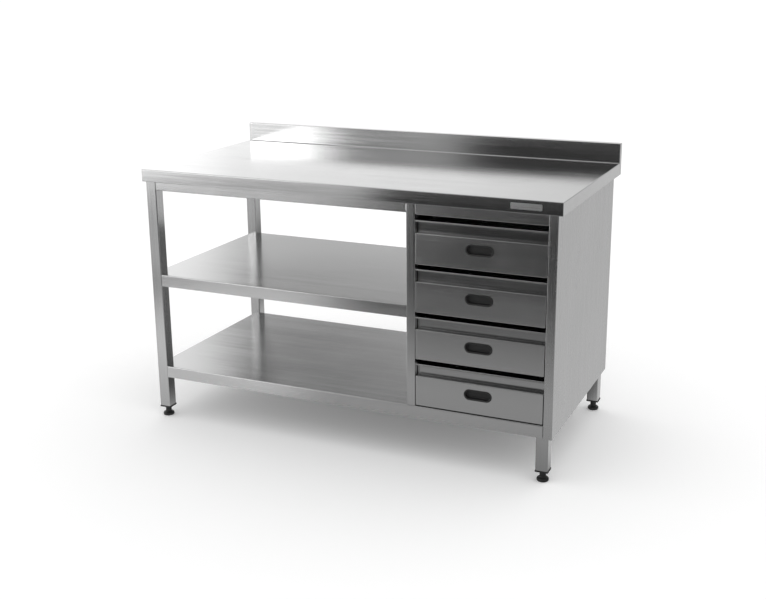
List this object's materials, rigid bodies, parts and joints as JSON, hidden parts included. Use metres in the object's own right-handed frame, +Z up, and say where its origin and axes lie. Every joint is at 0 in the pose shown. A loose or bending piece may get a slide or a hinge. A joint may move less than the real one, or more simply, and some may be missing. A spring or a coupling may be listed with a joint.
{
  "type": "stainless work table",
  "caption": "Stainless work table with a rear upstand, a mid and a bottom shelf, and a stack of drawers with recessed pulls on adjustable feet.",
  "frame": {"origin": "on the floor, under the middle of the worktop", "axes": "+X to the right along the front, -Y towards the user, +Z up"},
  "size_m": [1.4, 0.7011, 0.915],
  "materials": {
    "worktop_steel": "satin brushed stainless, grain along the length",
    "frame_steel": "satin brushed stainless, grain along each piece",
    "front_steel": "satin brushed stainless, grain along the front",
    "drawer_steel": "plain mill-finish stainless",
    "inner_steel": "plain mill-finish stainless",
    "runner_zinc": "bright zinc plate",
    "plate": "satin anodised, blank",
    "black_plastic": "black moulded nylon",
    "pull_plastic": "black moulded plastic with a fine grain",
    "core_board": "pale laminate over chipboard"
  },
  "bodies": {
    "frame": {"worktop": "worktop_steel", "core_board": "core_board", "front_rail": "frame_steel", "rear_rail": "inner_steel", "left_rail": "inner_steel", "name_plate": "plate", "leg_front_left": "frame_steel", "end_cap_front_left": "black_plastic", "leg_rear_left": "frame_steel", "end_cap_rear_left": "black_plastic", "leg_front_right": "frame_steel", "end_cap_front_right": "black_plastic", "leg_rear_right": "frame_steel", "end_cap_rear_right": "black_plastic", "mid_shelf": "frame_steel", "mid_shelf_stiffener": "inner_steel", "bottom_shelf": "frame_steel", "bottom_shelf_stiffener": "inner_steel", "partition": "frame_steel", "side_panel": "frame_steel", "back_panel": "inner_steel", "apron": "front_steel", "runner_upright_left": "inner_steel", "runner_upright_right": "inner_steel", "cabinet_1_runner_left": "runner_zinc", "cabinet_1_runner_right": "runner_zinc", "cabinet_2_runner_left": "runner_zinc", "cabinet_2_runner_right": "runner_zinc", "cabinet_3_runner_left": "runner_zinc", "cabinet_3_runner_right": "runner_zinc", "cabinet_4_runner_left": "runner_zinc", "cabinet_4_runner_right": "runner_zinc"},
    "drawer_1": {"drawer_1_front": "front_steel", "drawer_1_pull": "pull_plastic", "drawer_1_box": "drawer_steel", "drawer_1_runner_left": "runner_zinc", "drawer_1_runner_right": "runner_zinc"},
    "drawer_2": {"drawer_2_front": "front_steel", "drawer_2_pull": "pull_plastic", "drawer_2_box": "drawer_steel", "drawer_2_runner_left": "runner_zinc", "drawer_2_runner_right": "runner_zinc"},
    "drawer_3": {"drawer_3_front": "front_steel", "drawer_3_pull": "pull_plastic", "drawer_3_box": "drawer_steel", "drawer_3_runner_left": "runner_zinc", "drawer_3_runner_right": "runner_zinc"},
    "drawer_4": {"drawer_4_front": "front_steel", "drawer_4_pull": "pull_plastic", "drawer_4_box": "drawer_steel", "drawer_4_runner_left": "runner_zinc", "drawer_4_runner_right": "runner_zinc"},
    "levelling_foot_front_left": {"foot_front_left": "black_plastic"},
    "levelling_foot_rear_left": {"foot_rear_left": "black_plastic"},
    "levelling_foot_front_right": {"foot_front_right": "black_plastic"},
    "levelling_foot_rear_right": {"foot_rear_right": "black_plastic"}
  },
  "joints": [
    {"name": "drawer_1_slide", "type": "slide", "parent": "frame", "child": "drawer_1", "axis": [0, -1, 0], "range_m": [0, 0.38]},
    {"name": "drawer_2_slide", "type": "slide", "parent": "frame", "child": "drawer_2", "axis": [0, -1, 0], "range_m": [0, 0.38]},
    {"name": "drawer_3_slide", "type": "slide", "parent": "frame", "child": "drawer_3", "axis": [0, -1, 0], "range_m": [0, 0.38]},
    {"name": "drawer_4_slide", "type": "slide", "parent": "frame", "child": "drawer_4", "axis": [0, -1, 0], "range_m": [0, 0.38]},
    {"name": "foot_front_left_screw", "type": "slide", "parent": "frame", "child": "levelling_foot_front_left", "axis": [0, 0, -1], "range_m": [0, 0.02]},
    {"name": "foot_rear_left_screw", "type": "slide", "parent": "frame", "child": "levelling_foot_rear_left", "axis": [0, 0, -1], "range_m": [0, 0.02]},
    {"name": "foot_front_right_screw", "type": "slide", "parent": "frame", "child": "levelling_foot_front_right", "axis": [0, 0, -1], "range_m": [0, 0.02]},
    {"name": "foot_rear_right_screw", "type": "slide", "parent": "frame", "child": "levelling_foot_rear_right", "axis": [0, 0, -1], "range_m": [0, 0.02]}
  ]
}
